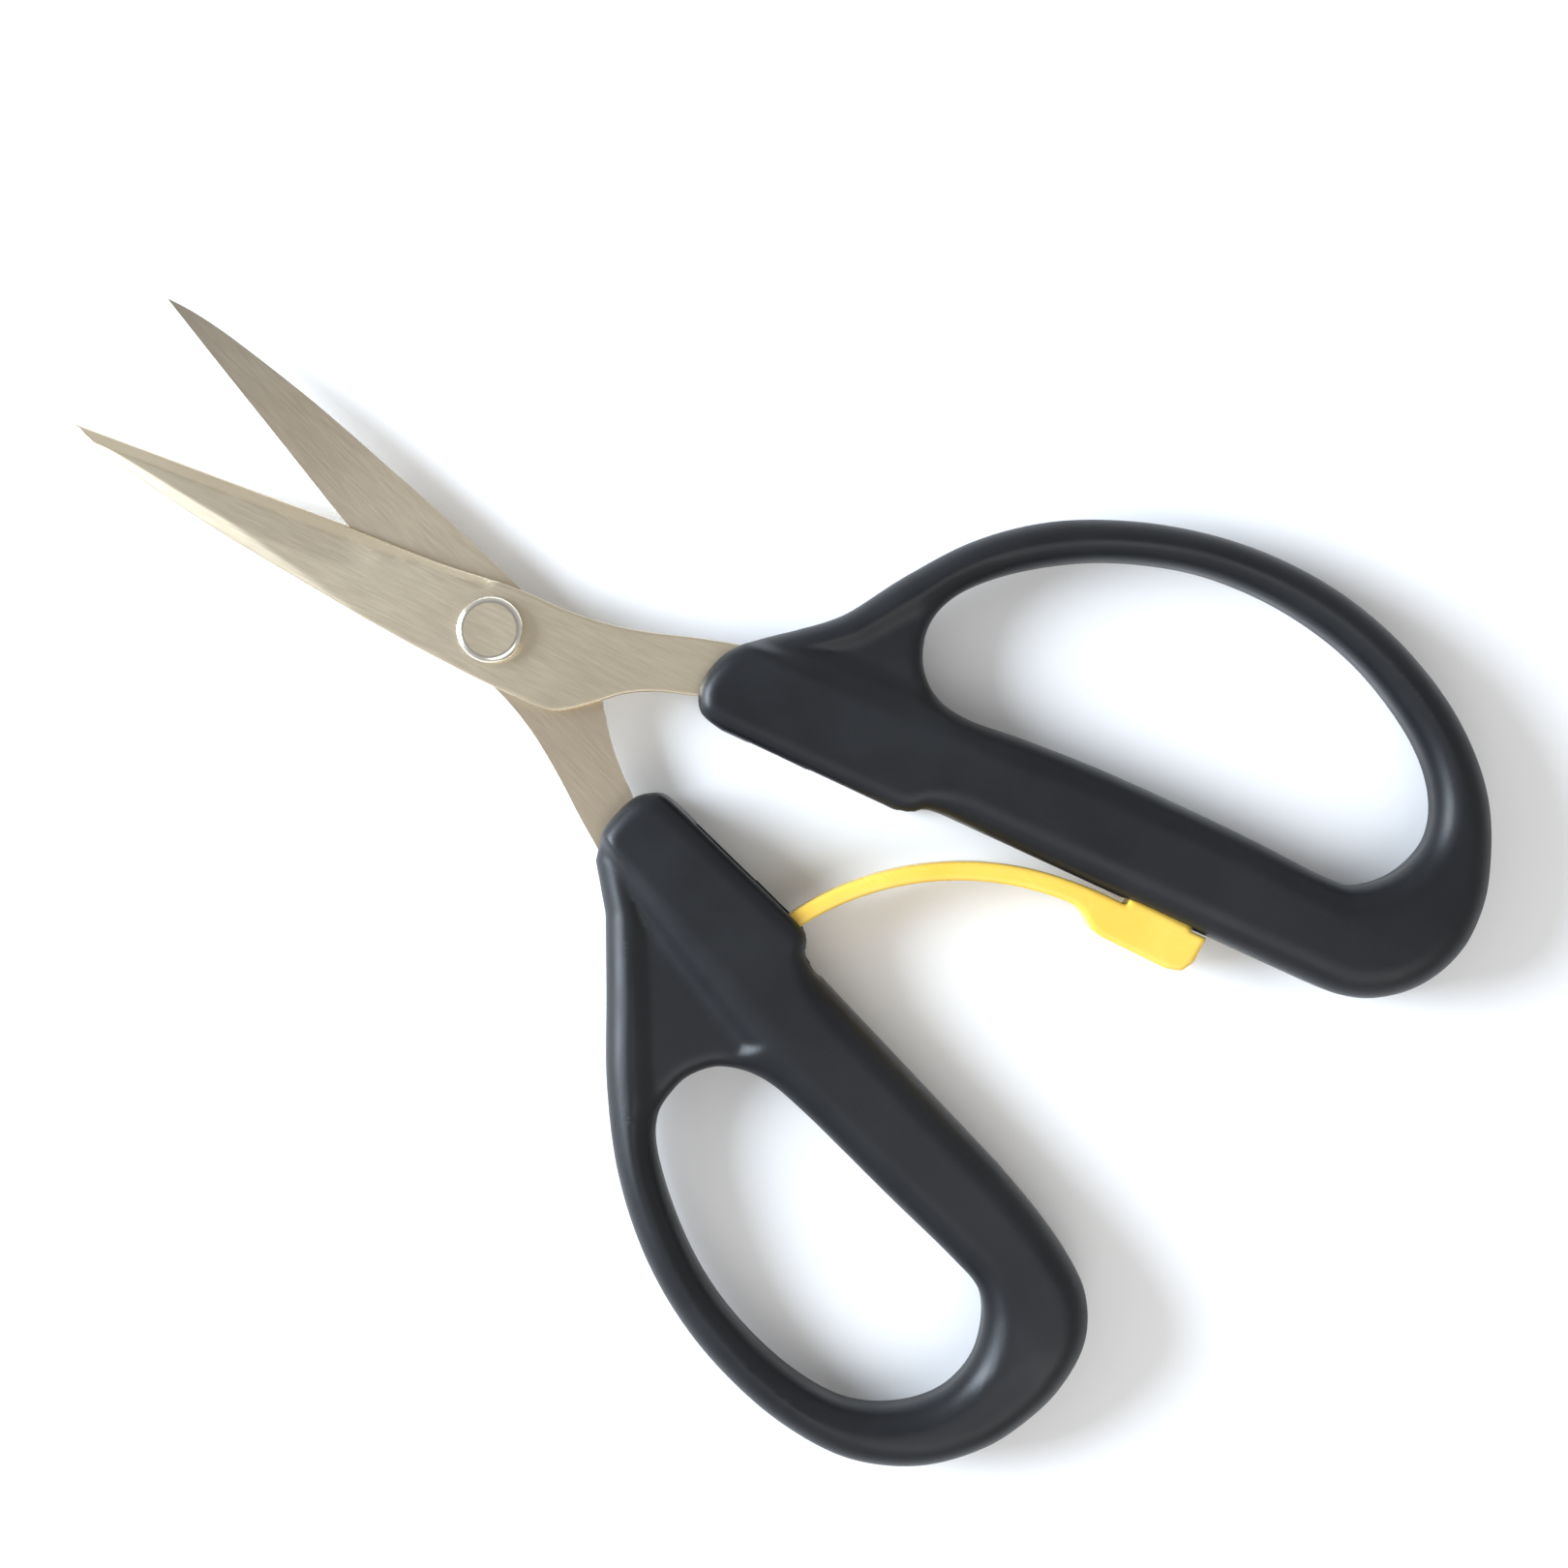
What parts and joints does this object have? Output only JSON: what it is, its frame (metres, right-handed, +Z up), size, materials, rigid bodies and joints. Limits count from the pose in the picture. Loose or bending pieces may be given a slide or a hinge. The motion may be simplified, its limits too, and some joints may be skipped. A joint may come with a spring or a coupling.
{
  "type": "thread snips",
  "caption": "Spring-opening thread snips: crossed pointed steel blades on a rivet, closed-loop plastic handles of different size and a curved leaf spring between them.",
  "frame": {"origin": "centre of the bottom of the bounding box of the snips lying open at rest", "axes": "+X from the handles to the blade tips along the bisector of the open blades; +Z up, from the washer side to the rivet-head side; +Y towards the thumb loop"},
  "size_m": [0.1472, 0.1028, 0.01],
  "materials": {
    "blade_steel": "satin ground steel",
    "rivet_steel": "polished steel",
    "handle_plastic": "satin black moulding",
    "spring_plastic": "smooth yellow moulding"
  },
  "bodies": {
    "front_half": {"front_blade": "blade_steel", "front_handle": "handle_plastic", "pivot_rivet": "rivet_steel", "rivet_washer": "rivet_steel", "spring_foot": "spring_plastic"},
    "rear_half": {"rear_blade": "blade_steel", "rear_handle": "handle_plastic"},
    "leaf": {"spring_leaf": "spring_plastic"}
  },
  "joints": [
    {"name": "pivot", "type": "hinge", "parent": "front_half", "child": "rear_half", "pos_m": [0.0263, 0.00304, 0.005], "axis": [0, 0, 1], "range_deg": [0, 19.3], "stiffness_Nm_per_rad": 0.6, "deforming": ["spring_leaf"]},
    {"name": "spring_flex", "type": "hinge", "parent": "front_half", "child": "leaf", "pos_m": [-0.03837, -0.01039, 0.005], "axis": [0, 0, 1], "range_deg": [-27.1, 0], "deforming": ["spring_leaf"]}
  ],
  "couplings": [
    {"joint": "spring_flex", "follows": "pivot", "ratio": -1.4}
  ]
}
